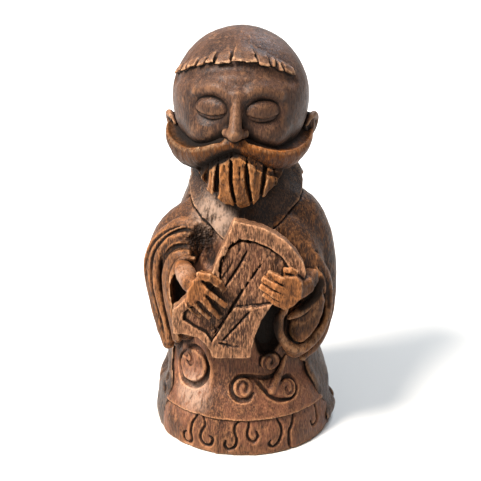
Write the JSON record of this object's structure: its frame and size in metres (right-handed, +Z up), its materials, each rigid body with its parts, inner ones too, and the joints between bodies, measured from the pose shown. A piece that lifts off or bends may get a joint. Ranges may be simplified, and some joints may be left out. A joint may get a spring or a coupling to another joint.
{
  "type": "carved harper figurine",
  "caption": "Standing carved wooden figurine of a bearded, cloaked man playing a small lyre, on a round flared hem base.",
  "frame": {"origin": "centre of the round underside of the base, on the surface that the figure stands on", "axes": "+Z up through the head, -Y towards the front of the figure, +X towards the figure's left hand"},
  "size_m": [0.0814, 0.0868, 0.1747],
  "materials": {
    "robe_wood": "stained, waxed, semi-gloss, darker in the cuts",
    "cloak_wood": "dark stained, waxed, semi-gloss, rubbed on the ridges",
    "skin_wood": "stained, polished by handling",
    "hair_wood": "stained, waxed, orange on the worn ridges",
    "lyre_wood": "reddish stain, fine vertical tool marks"
  },
  "bodies": {
    "root": {"cloak": "cloak_wood", "robe_front": "robe_wood", "hem_band": "robe_wood", "cowl_collar": "cloak_wood", "right_sleeve": "cloak_wood", "right_cuff": "cloak_wood", "left_sleeve": "cloak_wood", "left_cuff": "cloak_wood", "right_hand": "skin_wood", "left_hand": "skin_wood", "lyre_frame": "lyre_wood", "lyre_soundboard": "lyre_wood", "spiral_roundel": "robe_wood", "triskele": "robe_wood", "head": "skin_wood", "nose": "skin_wood", "right_eye": "skin_wood", "left_eye": "skin_wood", "right_ear": "skin_wood", "left_ear": "skin_wood", "hair_fringe": "hair_wood", "right_moustache": "hair_wood", "left_moustache": "hair_wood", "beard": "hair_wood"}
  },
  "joints": []
}
